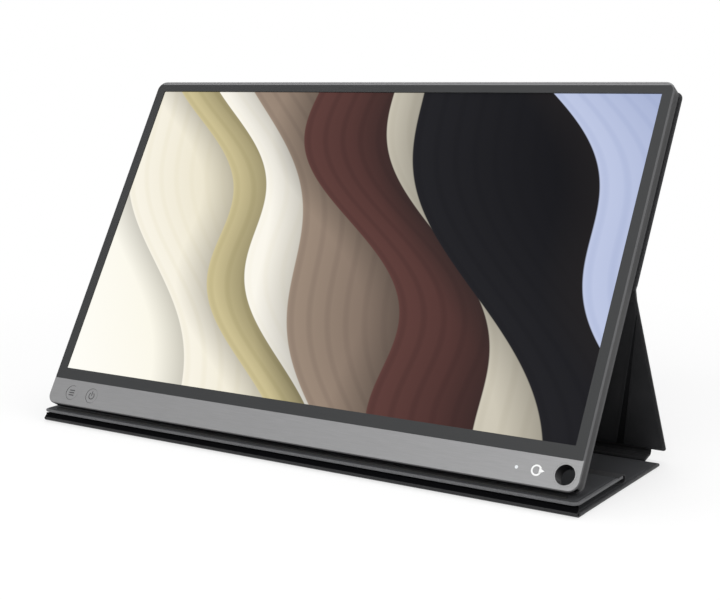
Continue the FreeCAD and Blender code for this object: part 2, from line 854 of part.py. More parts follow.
groove_half = half_crease / 2
for hand in (-1, 1):
    polygon(
        groove,
        [
            ((crease_x(groove_low) - groove_half) * hand, groove_low),
            ((crease_x(groove_low) + groove_half) * hand, groove_low),
            ((crease_x(groove_high) + groove_half) * hand, groove_high),
            ((crease_x(groove_high) - groove_half) * hand, groove_high),
        ],
    )
pocket(prop_lining, groove, lining / 2)

# Spine: soft, with no stiffener, and shorter than the panels so a notch shows at each end

spine_half = half_case - driving("spine_notch")
spine_end = spine_width - setback
plate("spine_skin", spine_frame, 0, panel / 2, -spine_half, setback, spine_half, spine_end, spine_corner)
plate(
    "spine_lining", spine_frame, panel / 2, panel / 2,
    lining_inset - spine_half, setback + lining_inset,
    spine_half - lining_inset, spine_end - lining_inset, spine_corner,
)

# Fold webs: the rolled cloth on the turning line of each fold


def fold_web(label, frame, y, z, half_length):
    web = new_body(label, frame)
    section = new_sketch(web, -half_length, "YZ_Plane")
    circle(section, y, z, driving("fold_radius"))
    pad(web, section, half_length * 2)


case_web = half_case - web_inset
spine_web = spine_half - web_inset
lining_side = panel + ease
fold_web("front_fold_web", base_frame, 0, lining_side, case_web)
fold_web("spine_fold_web", base_frame, base_length, lining_side, spine_web)
fold_web("prop_fold_web", spine_frame, spine_width, lining_side, spine_web)
fold_web("apex_fold_web", prop_frame, prop_length, -ease, case_web)
fold_web("middle_fold_web", leaf_frame, leaf_length, -ease, case_web)

# Test every object and write one file per node

document.recompute()
for item in document.Objects:
    if "Invalid" in item.State or "Error" in item.State:
        raise RuntimeError("%s: %s" % (item.Label, item.State))
os.makedirs("parts", exist_ok=True)
for body in nodes:
    shape = body.Shape
    if shape.isNull() or not shape.isValid() or not shape.Solids:
        raise RuntimeError("%s has no valid solid" % body.Label)
    shape.exportStep(os.path.join("parts", body.Label + ".step"))
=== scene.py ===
import json
import math

import bmesh
import bpy
from mathutils import Matrix, Vector


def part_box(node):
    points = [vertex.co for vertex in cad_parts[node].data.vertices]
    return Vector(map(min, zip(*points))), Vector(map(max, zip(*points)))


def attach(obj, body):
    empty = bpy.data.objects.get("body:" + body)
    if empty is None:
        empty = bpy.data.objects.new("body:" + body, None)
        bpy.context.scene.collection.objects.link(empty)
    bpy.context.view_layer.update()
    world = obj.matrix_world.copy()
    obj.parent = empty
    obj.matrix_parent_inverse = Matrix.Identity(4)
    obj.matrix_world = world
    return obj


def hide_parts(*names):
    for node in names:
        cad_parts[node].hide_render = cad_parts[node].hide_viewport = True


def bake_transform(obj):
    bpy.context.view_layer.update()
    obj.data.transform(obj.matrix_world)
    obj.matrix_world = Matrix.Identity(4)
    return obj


# A portable monitor that leans on its folding cover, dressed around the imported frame

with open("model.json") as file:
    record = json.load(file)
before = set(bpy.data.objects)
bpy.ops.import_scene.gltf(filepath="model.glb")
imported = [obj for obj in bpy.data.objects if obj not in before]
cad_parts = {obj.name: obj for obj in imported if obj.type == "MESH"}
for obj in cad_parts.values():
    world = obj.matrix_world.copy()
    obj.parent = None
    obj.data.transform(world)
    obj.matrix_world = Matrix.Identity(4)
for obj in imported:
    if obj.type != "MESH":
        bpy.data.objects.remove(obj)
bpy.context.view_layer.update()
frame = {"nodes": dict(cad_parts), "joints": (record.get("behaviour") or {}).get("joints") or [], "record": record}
nodes = frame["nodes"]

MM = 0.001
ACROSS = Vector((1, 0, 0))

# Places read from the frame


def named(items, name):
    return next(item for item in items if item["name"] == name)


def middle(node):
    low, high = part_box(node)
    return (low + high) / 2


def largest_face_normal(node):
    faces = nodes[node].data.polygons
    return max(faces, key=lambda face: face.area).normal.copy()


class Axes:
    """Axes of a flat piece: X along the world's X, Z along its thickness, Y across both."""

    def __init__(self, thickness_direction):
        self.normal = thickness_direction.normalized()
        self.along = self.normal.cross(ACROSS)
        self.origin = Vector((0, 0, 0))

    def world(self, x, y, z):
        return self.origin + ACROSS * x + self.along * y + self.normal * z

    def box(self, node):
        """The lowest and highest corners of a node in these axes."""
        places = [vertex.co - self.origin for vertex in nodes[node].data.vertices]
        local = [(place.x, place.dot(self.along), place.dot(self.normal)) for place in places]
        low = Vector([min(column) for column in zip(*local)])
        high = Vector([max(column) for column in zip(*local)])
        return low, high


class Panel(Axes):
    """A panel of the cover, with its thickness from the outer skin towards the lining.
    support is what leather on the panel rests on, low and high are the corners of its skin, and top is
    the level of its lining's face."""

    def __init__(self, name, body, support):
        self.name = name
        self.body = body
        self.support = support
        self.skin = name + "_skin"
        self.lining = name + "_lining"
        normal = largest_face_normal(self.skin)
        if normal.dot(middle(self.lining) - middle(self.skin)) < 0:
            normal = -normal
        super().__init__(normal)
        self.low, self.high = self.box(self.skin)
        self.top = self.box(self.lining)[1].z


back_panel = Panel("back", "monitor", "back_board")
prop_panel = Panel("prop", "prop", "prop_boards")
base_panel = Panel("base", "base", "base_board")
leaf_panel = Panel("leaf", "inner_leaf", "leaf_board")
rest_panel = Panel("rest", "rest_leaf", "rest_board")
spine_panel = Panel("spine", "spine", "case_spine")

# The screen's axes start at the lower edge of the rear cover, on its back

screen_axes = Axes(Vector(named(frame["record"]["mounts"], "pen_hole")["axis"]))
rear_low = screen_axes.box("rear_cover")[0]
screen_axes.origin = screen_axes.world(0, rear_low.y, rear_low.z)
bezel_low, bezel_high = screen_axes.box("front_bezel")

# Node trees


def new_material(name):
    material = bpy.data.materials.new(name)
    material.use_nodes = True
    return material, material.node_tree, material.node_tree.nodes["Principled BSDF"]


def fill(tree, node, inputs):
    """Sets inputs of a node, each to a plain value or to a link from the socket that is given."""
    for key, value in inputs.items():
        if isinstance(value, bpy.types.NodeSocket):
            tree.links.new(value, node.inputs[key])
        else:
            node.inputs[key].default_value = value


def add(tree, kind, inputs=None, **settings):
    """A new node with its settings and inputs."""
    node = tree.nodes.new("ShaderNode" + kind)
    for key, value in settings.items():
        setattr(node, key, value)
    fill(tree, node, inputs or {})
    return node


def own_place(tree):
    """The place on the piece itself, in metres."""
    return add(tree, "TexCoord").outputs["Object"]


def place_mm(tree, stretch=(1, 1, 1)):
    """The place on the piece in millimetres, with each axis scaled."""
    scale = [part / MM for part in stretch]
    return add(tree, "Mapping", {"Vector": own_place(tree), "Scale": scale}).outputs["Vector"]


def noise(tree, vector, scale, detail=3.0, roughness=0.5):
    inputs = {"Vector": vector, "Scale": scale, "Detail": detail, "Roughness": roughness}
    return add(tree, "TexNoise", inputs).outputs["Fac"]


def cells(tree, vector, scale, feature="F1"):
    inputs = {"Vector": vector, "Scale": scale}
    return add(tree, "TexVoronoi", inputs, feature=feature).outputs["Distance"]


def ramp(tree, value, low, high, to_low=0.0, to_high=1.0):
    """A value from the range low to high, carried over to the range to_low to to_high and kept in it."""
    inputs = {"Value": value, "From Min": low, "From Max": high, "To Min": to_low, "To Max": to_high}
    return add(tree, "MapRange", inputs).outputs["Result"]


def math_node(tree, operation, first, second=0.0):
    return add(tree, "Math", {0: first, 1: second}, operation=operation).outputs[0]


def vector_node(tree, operation, first, second):
    return add(tree, "VectorMath", {0: first, 1: second}, operation=operation).outputs


def reach_along(tree, vector, direction):
    """How far a vector reaches along a direction."""
    return vector_node(tree, "DOT_PRODUCT", vector, direction)["Value"]


def from_point(tree, point):
    """The vector from a point of the world at rest to the place on the piece."""
    return vector_node(tree, "SUBTRACT", own_place(tree), point)["Vector"]


def two_patterns(tree, first, second, first_share):
    """The sum of two patterns, of which the first has the given share."""
    first_part = math_node(tree, "MULTIPLY", first, first_share)
    second_part = math_node(tree, "MULTIPLY", second, 1 - first_share)
    return math_node(tree, "ADD", first_part, second_part)


# A Mix node has sockets for numbers, vectors and colours. These are the ones for colours.
MIX_FIRST = 6
MIX_SECOND = 7
MIX_RESULT = 2


def as_colour(value):
    return value if isinstance(value, bpy.types.NodeSocket) else (*value, 1)


def blend_colours(tree, factor, first, second):
    """A blend of two colours, each a socket or its three parts."""
    inputs = {"Factor": factor, MIX_FIRST: as_colour(first), MIX_SECOND: as_colour(second)}
    return add(tree, "Mix", inputs, data_type="RGBA").outputs[MIX_RESULT]


def bump(tree, shader, height, distance):
    node = add(tree, "Bump", {"Height": height, "Distance": distance, "Strength": 1.0})
    tree.links.new(node.outputs["Normal"], shader.inputs["Normal"])


# Materials. The scale of a pattern is its number of repeats in a millimetre.

# Most of a noise lies between these two values
NOISE_LOW = 0.3
NOISE_HIGH = 0.7


def fine_plastic(name, dark, light, roughness, grain=3.0, depth=0.012 * MM):
    """Moulded or painted plastic with a fine grain and slightly uneven tone."""
    material, tree, shader = new_material(name)
    vector = place_mm(tree)
    cloud = noise(tree, vector, scale=0.02, detail=2.0)
    speck = noise(tree, vector, scale=grain, detail=2.0)
    tone = ramp(tree, two_patterns(tree, cloud, speck, first_share=0.6), NOISE_LOW, NOISE_HIGH)
    rough = ramp(tree, cloud, NOISE_LOW, NOISE_HIGH, to_low=roughness - 0.05, to_high=roughness + 0.07)
    fill(tree, shader, {"Base Color": blend_colours(tree, tone, dark, light), "Roughness": rough})
    bump(tree, shader, speck, depth)
    return material


HAIR_STRETCH = (0.012, 1, 1)
HAIR_DEPTH = 0.004 * MM


def brushed_metal(name, dark, light, roughness, metallic):
    """Metal or metallic paint with hair lines along X."""
    material, tree, shader = new_material(name)
    lines = noise(tree, place_mm(tree, HAIR_STRETCH), scale=6.0, detail=4.0, roughness=0.65)
    cloud = noise(tree, place_mm(tree), scale=0.015, detail=2.0)
    tone = ramp(tree, lines, NOISE_LOW, NOISE_HIGH)
    both = math_node(tree, "ADD", lines, cloud)
    rough = ramp(
        tree, both, 2 * NOISE_LOW, 2 * NOISE_HIGH, to_low=roughness - 0.08, to_high=roughness + 0.08)
    colour = blend_colours(tree, tone, dark, light)
    fill(tree, shader, {"Base Color": colour, "Roughness": rough, "Metallic": metallic})
    bump(tree, shader, lines, HAIR_DEPTH)
    return material


def height_above(tree, level):
    """The height up the screen above a level, measured on the piece itself."""
    return reach_along(tree, from_point(tree, screen_axes.world(0, level, 0)), screen_axes.along)


def finished(material):
    """The tree and shader of a finished material, and the socket that its colour comes from."""
    tree = material.node_tree
    shader = tree.nodes["Principled BSDF"]
    return tree, shader, shader.inputs["Base Color"].links[0].from_socket


# The painted highlight along the bezel's upper edge, standing in for light caught by that edge, starts and is full
# this far below that edge
HIGHLIGHT_START = 1.2 * MM
HIGHLIGHT_FULL = 0.9 * MM
PAINTED_HIGHLIGHT_COLOUR = (0.21, 0.21, 0.215)


def bezel_finish(name):
    """Fine grained plastic with a painted highlight along its upper edge, where light falls on it."""
    material = fine_plastic(name, (0.018, 0.019, 0.020), (0.027, 0.028, 0.029), 0.55)
    tree, shader, grained = finished(material)
    # line is the painted highlight: a paler colour near the upper edge for the light it catches
    line = ramp(tree, height_above(tree, bezel_high.y), -HIGHLIGHT_START, -HIGHLIGHT_FULL)
    colour = blend_colours(tree, line, grained, PAINTED_HIGHLIGHT_COLOUR)
    fill(tree, shader, {"Base Color": colour, "Specular IOR Level": 0.3})
    return material


# The frame's bevel and its front are told apart by how squarely they face forwards, from 0 to 1
BEVEL_FACING = (0.3, 0.6)
FRONT_FACING = (0.8, 0.95)
FRAME_SIDE = (0.009, 0.009, 0.010)
FRAME_EDGE = (0.085, 0.085, 0.088)
FRAME_TOP_HIGHLIGHT = (0.25, 0.25, 0.255)
TOP_HIGHLIGHT_REACH = 2.0 * MM
CHIN_OVERLAP = 0.2 * MM


def framed_silver(name, dark, light, roughness, metallic):
    """Silver paint on the chin's front, dark grey elsewhere, with a lighter edge and a painted highlight along its
    top.
    """
    material = brushed_metal(name, dark, light, roughness, metallic)
    tree, shader, painted = finished(material)
    facing = reach_along(tree, add(tree, "TexCoord").outputs["Normal"], screen_axes.normal)
    # top carries a painted highlight: the edge turns paler near the top, for the light from above
    top = ramp(tree, height_above(tree, bezel_high.y), -TOP_HIGHLIGHT_REACH, 0.0)
    edge = blend_colours(tree, top, FRAME_EDGE, FRAME_TOP_HIGHLIGHT)
    side = blend_colours(tree, ramp(tree, facing, *BEVEL_FACING), FRAME_SIDE, edge)
    chin = math_node(tree, "LESS_THAN", height_above(tree, bezel_low.y), CHIN_OVERLAP)
    chin_front = math_node(tree, "MULTIPLY", ramp(tree, facing, *FRONT_FACING), chin)
    fill(tree, shader, {
        "Base Color": blend_colours(tree, chin_front, side, painted),
        "Metallic": ramp(tree, chin_front, 0.0, 1.0, to_high=metallic),
        "Specular IOR Level": 0.25,
    })
    return material


PEBBLE_DEPTH = 0.05 * MM
PEBBLE_SLOPE = 0.28
SHEEN_SHARE = 0.2


def grained_leather(name, dark, light, roughness=0.56, shine=0.3):
    """Man-made leather: small raised pebbles of uneven size, dulled in the creases."""
    material, tree, shader = new_material(name)
    vector = place_mm(tree)
    warp = add(tree, "TexNoise", {"Vector": vector, "Scale": 0.7, "Detail": 2.0}).outputs["Color"]
    shifted = vector_node(tree, "ADD", vector, warp)["Vector"]
    pebbles = cells(tree, shifted, scale=1.5, feature="DISTANCE_TO_EDGE")
    raised = ramp(tree, pebbles, 0.0, PEBBLE_SLOPE)
    patches = ramp(tree, noise(tree, vector, scale=0.03), low=0.25, high=0.75, to_low=0.55)
    tone = math_node(tree, "MULTIPLY", raised, patches)
    fill(tree, shader, {
        "Base Color": blend_colours(tree, tone, dark, light),
        "Roughness": ramp(tree, tone, 0.0, 1.0, to_low=roughness + 0.16, to_high=roughness - 0.06),
        "Specular IOR Level": shine,
        "Sheen Weight": shine * SHEEN_SHARE,
        "Sheen Roughness": 0.5,
    })
    bump(tree, shader, raised, PEBBLE_DEPTH)
    return material


FIBRE_STRETCH = (0.35, 1, 1)
FIBRE_DEPTH = 0.04 * MM


def brushed_fibre(name, dark, light):
    """Microfibre lining: short fibres laid mostly one way, with a soft sheen."""
    material, tree, shader = new_material(name)
    fibres = noise(tree, place_mm(tree, FIBRE_STRETCH), scale=5.0, detail=4.0, roughness=0.7)
    patches = noise(tree, place_mm(tree), scale=0.05)
    both = two_patterns(tree, fibres, patches, first_share=0.55)
    tone = ramp(tree, both, low=0.32, high=0.68)
    fill(tree, shader, {
        "Base Color": blend_colours(tree, tone, dark, light),
        "Roughness": ramp(tree, fibres, low=0.2, high=0.8, to_low=0.78, to_high=0.95),
        "Specular IOR Level": 0.2,
        "Sheen Weight": 0.35,
        "Sheen Roughness": 0.4,
        "Sheen Tint": (0.6, 0.62, 0.66, 1),
    })
    bump(tree, shader, fibres, FIBRE_DEPTH)
    return material


TRACK_COLOUR = (0.015, 0.09, 0.04)
MASK_COLOUR = (0.02, 0.16, 0.07)
PAD_COLOUR = (0.6, 0.55, 0.4)
TRACK_DEPTH = 0.02 * MM


def circuit_board_finish(name):
    """Green solder mask with darker tracks and tinned pads."""
    material, tree, shader = new_material(name)
    vector = place_mm(tree)
    borders = cells(tree, vector, scale=0.45, feature="DISTANCE_TO_EDGE")
    tracks = ramp(tree, borders, low=0.03, high=0.06)
    pads = ramp(tree, cells(tree, vector, scale=0.6), low=0.12, high=0.16)
    mask = blend_colours(tree, tracks, TRACK_COLOUR, MASK_COLOUR)
    fill(tree, shader, {"Base Color": blend_colours(tree, pads, PAD_COLOUR, mask), "Roughness": 0.35})
    bump(tree, shader, tracks, TRACK_DEPTH)
    return material


DULL_SHARE = 0.85


def glowing(name, colour, strength):
    """A clear lens with light behind it, slightly uneven in tone."""
    material, tree, shader = new_material(name)
    fleck = noise(tree, place_mm(tree), scale=2.0, detail=2.0)
    tint = blend_colours(tree, fleck, [part * DULL_SHARE for part in colour], colour)
    fill(tree, shader, {
        "Base Color": tint, "Emission Color": tint, "Emission Strength": strength, "Roughness": 0.2,
    })
    return material


# The picture on the screen: broad paper-like waves, each with a soft shadow beside its edge.
# A wave has a place along the picture, a swing, a number of swings, a phase and two colours.

WAVES = [
    (0.26, 0.040, 1.1, 0.4, (0.78, 0.72, 0.54), (0.95, 0.91, 0.80)),
    (0.42, 0.050, 1.3, 2.2, (0.34, 0.29, 0.12), (0.62, 0.54, 0.30)),
    (0.50, 0.045, 1.3, 2.0, (0.88, 0.83, 0.68), (0.97, 0.94, 0.86)),
    (0.57, 0.045, 1.0, 3.6, (0.14, 0.10, 0.08), (0.33, 0.25, 0.19)),
    (0.70, 0.060, 1.2, 5.1, (0.030, 0.012, 0.011), (0.11, 0.045, 0.038)),
    (0.86, 0.050, 1.1, 5.6, (0.46, 0.42, 0.33), (0.62, 0.58, 0.48)),
    (0.90, 0.055, 0.9, 0.9, (0.004, 0.004, 0.005), (0.012, 0.012, 0.014)),
    (1.13, 0.050, 1.1, 2.3, (0.30, 0.36, 0.57), (0.52, 0.58, 0.78)),
]
WAVE_SLOPE = 0.34
WAVE_BLUR = 0.001
WAVE_FADE = 0.28
SKY_LEFT = (1.0, 0.99, 0.94)
SKY_RIGHT = (0.93, 0.88, 0.70)
SKY_REACH = 0.5
SHADOW_REACH = 0.07
SHADOW_DEPTH = 0.38
SHADOW_COLOUR = (0.02, 0.016, 0.014)
RIPPLES = 28
RIPPLE_START = 0.2
RIPPLE_DEPTH = 0.22
FILM_COLOUR = (0.003, 0.003, 0.004, 1)
FILM_GRAIN_DEPTH = 0.004 * MM


def picture_place(tree):
    """How far across and how far up the picture the place is, each from 0 to 1."""
    low, high = screen_axes.box("screen_film")
    shifted = from_point(tree, screen_axes.world(low.x, low.y, low.z))
    across = reach_along(tree, shifted, ACROSS / (high.x - low.x))
    up = reach_along(tree, shifted, screen_axes.along / (high.y - low.y))
    return across, up


def add_wave(tree, below, slanted, up, wave):
    """The colour of the picture below with one more wave laid over it."""
    position, swing, turns, phase, dark, light = wave
    angle = math_node(tree, "ADD", math_node(tree, "MULTIPLY", up, turns * math.tau), phase)
    edge = math_node(tree, "MULTIPLY", math_node(tree, "SINE", angle), swing)
    distance = math_node(tree, "SUBTRACT", math_node(tree, "SUBTRACT", slanted, position), edge)
    shade = ramp(tree, distance, -SHADOW_REACH, 0.0, to_high=SHADOW_DEPTH)
    shaded = blend_colours(tree, shade, below, SHADOW_COLOUR)
    paper = blend_colours(tree, ramp(tree, distance, 0.0, WAVE_FADE), light, dark)
    ripple = math_node(tree, "SINE", math_node(tree, "MULTIPLY", distance, RIPPLES * math.tau))
    groove = ramp(tree, ripple, RIPPLE_START, 1.0, to_high=RIPPLE_DEPTH)
    rippled = blend_colours(tree, groove, paper, dark)
    return blend_colours(tree, ramp(tree, distance, -WAVE_BLUR, WAVE_BLUR), shaded, rippled)


def wave_picture(name):
    """A picture of waves, lit from behind a matt film."""
    material, tree, shader = new_material(name)
    across, up = picture_place(tree)
    slanted = math_node(tree, "ADD", across, math_node(tree, "MULTIPLY", up, WAVE_SLOPE))
    colour = blend_colours(tree, ramp(tree, slanted, 0.0, SKY_REACH), SKY_LEFT, SKY_RIGHT)
    for wave in WAVES:
        colour = add_wave(tree, colour, slanted, up, wave)
    grain = noise(tree, place_mm(tree), scale=4.0, detail=2.0)
    fill(tree, shader, {
        "Base Color": FILM_COLOUR,
        "Roughness": ramp(tree, grain, NOISE_LOW, NOISE_HIGH, to_low=0.42, to_high=0.52),
        "Specular IOR Level": 0.02,
        "Emission Color": colour,
        "Emission Strength": 1.0,
    })
    bump(tree, shader, grain, FILM_GRAIN_DEPTH)
    return material


# The finishes, each with a dark and a light tone and a roughness

silver_paint = framed_silver(
    "silver_paint", (0.225, 0.225, 0.228), (0.27, 0.27, 0.273), 0.42, metallic=0.4)
key_paint = brushed_metal(
    "key_paint", (0.218, 0.218, 0.221), (0.263, 0.263, 0.266), 0.45, metallic=0.4)
bezel_plastic = bezel_finish("bezel_plastic")
cover_plastic = fine_plastic(
    "cover_plastic", (0.022, 0.022, 0.024), (0.032, 0.032, 0.034), 0.55, grain=2.0, depth=0.004 * MM)
skin_leather = grained_leather("skin_leather", (0.008, 0.008, 0.009), (0.034, 0.034, 0.037))
lining_fibre = brushed_fibre("lining_fibre", (0.012, 0.012, 0.013), (0.026, 0.026, 0.028))
shaded_leather = grained_leather(
    "shaded_leather", (0.002, 0.002, 0.0025), (0.004, 0.004, 0.005), 0.8, shine=0.03)
# A darker, duller copy of the leather for the crease strips: painted shade in the prop's creases
crease_leather = grained_leather(
    "crease_leather", (0.010, 0.010, 0.011), (0.0195, 0.0195, 0.021), 0.8, shine=0.03)
# The rest leaf's leather is a paler copy of the cover's leather: painted light for the lamps falling on the leaf's
# top
rest_leather = grained_leather("rest_leather", (0.08, 0.081, 0.085), (0.14, 0.141, 0.148), 0.6)
# The base's leather is a paler copy of the cover's leather: painted light on the base
base_leather = grained_leather("base_leather", (0.03, 0.03, 0.032), (0.06, 0.06, 0.064), 0.6)
fold_leather = grained_leather("fold_leather", (0.012, 0.012, 0.013), (0.026, 0.026, 0.028), 0.6)
rib_rubber = fine_plastic(
    "rib_rubber", (0.012, 0.012, 0.012), (0.02, 0.02, 0.02), 0.75, grain=2.5, depth=0.02 * MM)
mark_dark = fine_plastic("mark_dark", (0.03, 0.03, 0.032), (0.045, 0.045, 0.047), 0.6)
mark_white = fine_plastic("mark_white", (0.75, 0.75, 0.75), (0.85, 0.85, 0.85), 0.55)
screen_picture = wave_picture("wave_picture")
indicator_light = glowing("indicator_light", (0.62, 0.64, 0.66), strength=0.3)
light_source = glowing("light_source", (0.9, 0.88, 0.7), strength=0.1)
panel_glass = fine_plastic("panel_glass", (0.05, 0.06, 0.065), (0.07, 0.08, 0.085), 0.15)
white_film = fine_plastic("white_film", (0.78, 0.78, 0.79), (0.86, 0.86, 0.87), 0.5)
clear_acrylic = fine_plastic("clear_acrylic", (0.75, 0.78, 0.8), (0.85, 0.88, 0.9), 0.12)
pressed_steel = brushed_metal("pressed_steel", (0.5, 0.51, 0.52), (0.64, 0.65, 0.66), 0.35, metallic=1.0)
foam_tape = fine_plastic(
    "foam_tape", (0.02, 0.02, 0.02), (0.05, 0.05, 0.05), 0.9, grain=1.2, depth=0.08 * MM)
circuit_board = circuit_board_finish("circuit_board")
amber_ribbon = fine_plastic("amber_ribbon", (0.35, 0.17, 0.03), (0.5, 0.27, 0.06), 0.35)
chip_black = fine_plastic("chip_black", (0.012, 0.012, 0.012), (0.025, 0.025, 0.025), 0.5)
nickel_plate = brushed_metal("nickel_plate", (0.6, 0.59, 0.56), (0.72, 0.71, 0.68), 0.25, metallic=1.0)
grey_board = fine_plastic(
    "grey_board", (0.26, 0.24, 0.21), (0.36, 0.33, 0.29), 0.9, grain=1.0, depth=0.05 * MM)


def dress(material, *names):
    """Gives nodes of the frame a material."""
    for name in names:
        item = nodes[name]
        if not item.material_slots:
            item.data.materials.append(material)
        for slot in item.material_slots:
            slot.material = material


dress(silver_paint, "main_frame", "pen_hole_bush")
dress(key_paint, "menu_key", "power_key")
dress(bezel_plastic, "front_bezel")
dress(cover_plastic, "rear_cover")
dress(screen_picture, "screen_film")
dress(indicator_light, "light_pipe")
dress(light_source, "status_led", "led_bar")
dress(panel_glass, "lcd_cell")
dress(white_film, "optical_sheets", "reflector_sheet")
dress(clear_acrylic, "light_guide")
dress(pressed_steel, "panel_tray", "board_screws", "usb_socket")
dress(foam_tape, "foam_strips")
dress(circuit_board, "main_board", "driver_board", "key_board")
dress(amber_ribbon, "panel_flex", "key_flex")
dress(chip_black, "board_chips", "key_switches", "usb_tongue")
dress(nickel_plate, "monitor_magnets", "back_magnets", "rest_magnets")
dress(grey_board, "back_board", "prop_boards", "base_board", "leaf_board", "rest_board")
dress(rib_rubber, "stop_rib")

# Meshes

SHARP_ANGLE = math.radians(38)
LEAST_BEND = 0.15 * MM
CORNER_STEPS = 7
EDGE_STEPS = 5
GROOVE_WIDTH = 0.9 * MM


def new_piece(name, points, faces, material):
    mesh = bpy.data.meshes.new(name)
    mesh.from_pydata([tuple(point) for point in points], [], faces)
    build = bmesh.new()
    build.from_mesh(mesh)
    bmesh.ops.recalc_face_normals(build, faces=build.faces)
    build.to_mesh(mesh)
    build.free()
    for face in mesh.polygons:
        face.use_smooth = True
    mesh.set_sharp_from_angle(angle=SHARP_ANGLE)
    mesh.materials.append(material)
    piece = bpy.data.objects.new(name, mesh)
    bpy.context.scene.collection.objects.link(piece)
    return piece


def side_faces(start, count):
    """The faces between two rings of points, the first from start on and the second right after it."""
    faces = []
    for number in range(count):
        this = start + number
        following = start + (number + 1) % count
        faces.append((this, following, following + count, this + count))
    return faces


def stacked(name, rings, material):
    """A closed skin over rings of equal point counts, with flat ends on the first and last."""
    count = len(rings[0])
    points = [point for ring in rings for point in ring]
    faces = []
    for level in range(len(rings) - 1):
        faces += side_faces(level * count, count)
    faces.append(tuple(range(count)))
    faces.append(tuple(range(len(points) - count, len(points))))
    return new_piece(name, points, faces, material)


def round_corners(corners, radii, inset):
    """The outline of a convex polygon, moved in by inset, with an arc of its own at each corner."""
    outline = []
    count = len(corners)
    for number, corner in enumerate(corners):
        bend = max(radii[number] - inset, LEAST_BEND)
        before = (Vector(corners[number - 1]) - Vector(corner)).normalized()
        after = (Vector(corners[(number + 1) % count]) - Vector(corner)).normalized()
        half = before.angle(after) / 2
        bisector = (before + after).normalized()
        centre = Vector(corner) + bisector * (bend + inset) / math.sin(half)
        first = math.atan2(-bisector.y, -bisector.x)
        spread = math.pi / 2 - half
        for step in range(CORNER_STEPS):
            angle = first + spread * (2 * step / (CORNER_STEPS - 1) - 1)
            outline.append((centre.x + bend * math.cos(angle), centre.y + bend * math.sin(angle)))
    return outline


def slab_profile(low, high, edge, groove_inset, groove_depth):
    """How far in and how high each ring of a soft-edged slab lies, from its low face to its high face.
    A pressed line runs along the border of both faces."""
    rounding = [math.pi / 2 * step / EDGE_STEPS for step in range(EDGE_STEPS + 1)]
    groove = [
        (groove_inset + GROOVE_WIDTH, 0.0),
        (groove_inset + GROOVE_WIDTH / 2, groove_depth),
        (groove_inset, 0.0),
    ]
    lower = [(inset, low + sink) for inset, sink in groove]
    lower += [(edge * (1 - math.sin(turn)), low + edge * (1 - math.cos(turn))) for turn in rounding]
    upper = [(edge * (1 - math.cos(turn)), high - edge * (1 - math.sin(turn))) for turn in rounding]
    upper += [(inset, high - sink) for inset, sink in reversed(groove)]
    return lower + upper


def slab(name, axes, corners, radii, profile, material):
    """A flat piece with rounded corners, whose rings lie as far in and as high as the profile says."""
    rings = []
    for inset, level in profile:
        outline = round_corners(corners, radii, inset)
        rings.append([axes.world(x, y, level) for x, y in outline])
    return stacked(name, rings, material)


def rectangle(left, bottom, right, top):
    return [(left, bottom), (right, bottom), (right, top), (left, top)]


def box_outline(low, high):
    return rectangle(low.x, low.y, high.x, high.y)


def inset_box(low, high, inset):
    shrink = Vector((inset, inset, 0))
    return low + shrink, high - shrink


# Cover panels: a leather shell with soft pressed edges, and a fibre lining set into it

LINING_STAND = 0.2 * MM
LINING_BORDER = 1.5 * MM
LINING_DEPTH = 0.4 * MM
EDGE = 0.65 * MM
FREE_CORNER = 4.0 * MM
FOLD_CORNER = 0.9 * MM
PROP_FOOT_CORNER = 1.8 * MM
BASE_REAR_CORNER = 1.2 * MM
SEAM_INSET = 2.6 * MM
SEAM_DEPTH = 0.12 * MM
FIELD_SEAM_INSET = 1.1 * MM
FIELD_SEAM_DEPTH = 0.08 * MM
CREASE_FOOT = 26.5 * MM
CREASE_DROP = 12.3 * MM
CREASE_GAP = 2.1 * MM
CREASE_TIP_GAP = 0.8 * MM
CREASE_TIP_CORNER = 0.2 * MM


def crease_ends(high):
    """How far out a crease starts at the panel's foot, and how far up it ends at the panel's side."""
    return high.x + LINING_BORDER - CREASE_FOOT, high.y - CREASE_DROP


def crease_fields(low, high):
    """The prop's lining comes in three fields, parted by a slanted crease near each end.
    Each field is given as its corners and their radii."""
    foot, end = crease_ends(high)
    middle_field = [
        (-foot + CREASE_GAP, low.y), (foot - CREASE_GAP, low.y), (high.x, end + CREASE_TIP_GAP),
        (high.x, high.y), (low.x, high.y), (low.x, end + CREASE_TIP_GAP),
    ]
    right_field = [(foot + CREASE_GAP, low.y), (high.x, low.y), (high.x, end - CREASE_TIP_GAP)]
    left_field = [(low.x, low.y), (-foot - CREASE_GAP, low.y), (low.x, end - CREASE_TIP_GAP)]
    middle_radii = [FOLD_CORNER] * len(middle_field)
    end_radii = [FOLD_CORNER, FOLD_CORNER, CREASE_TIP_CORNER]
    return [(middle_field, middle_radii), (right_field, end_radii), (left_field, end_radii)]


def shell_name(panel):
    return "case_%s_shell" % panel.name


def panel_shell(panel, outer_face, radii, leather):
    profile = slab_profile(outer_face, panel.top - LINING_STAND, EDGE, SEAM_INSET, SEAM_DEPTH)
    corners = box_outline(panel.low, panel.high)
    shell = slab(shell_name(panel), panel, corners, radii, profile, leather)
    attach(shell, panel.body)
    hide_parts(panel.skin)


def lay_fields(panel, layer, fields, levels, material, replaced):
    """Thin sheets laid on a panel, one for each outline, with a pressed line along their borders."""
    profile = slab_profile(*levels, LINING_STAND, FIELD_SEAM_INSET, FIELD_SEAM_DEPTH)
    for number, (corners, radii) in enumerate(fields, start=1):
        name = "case_%s_%s_%d" % (panel.name, layer, number)
        sheet = slab(name, panel, corners, radii, profile, material)
        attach(sheet, panel.body)
        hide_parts(replaced)


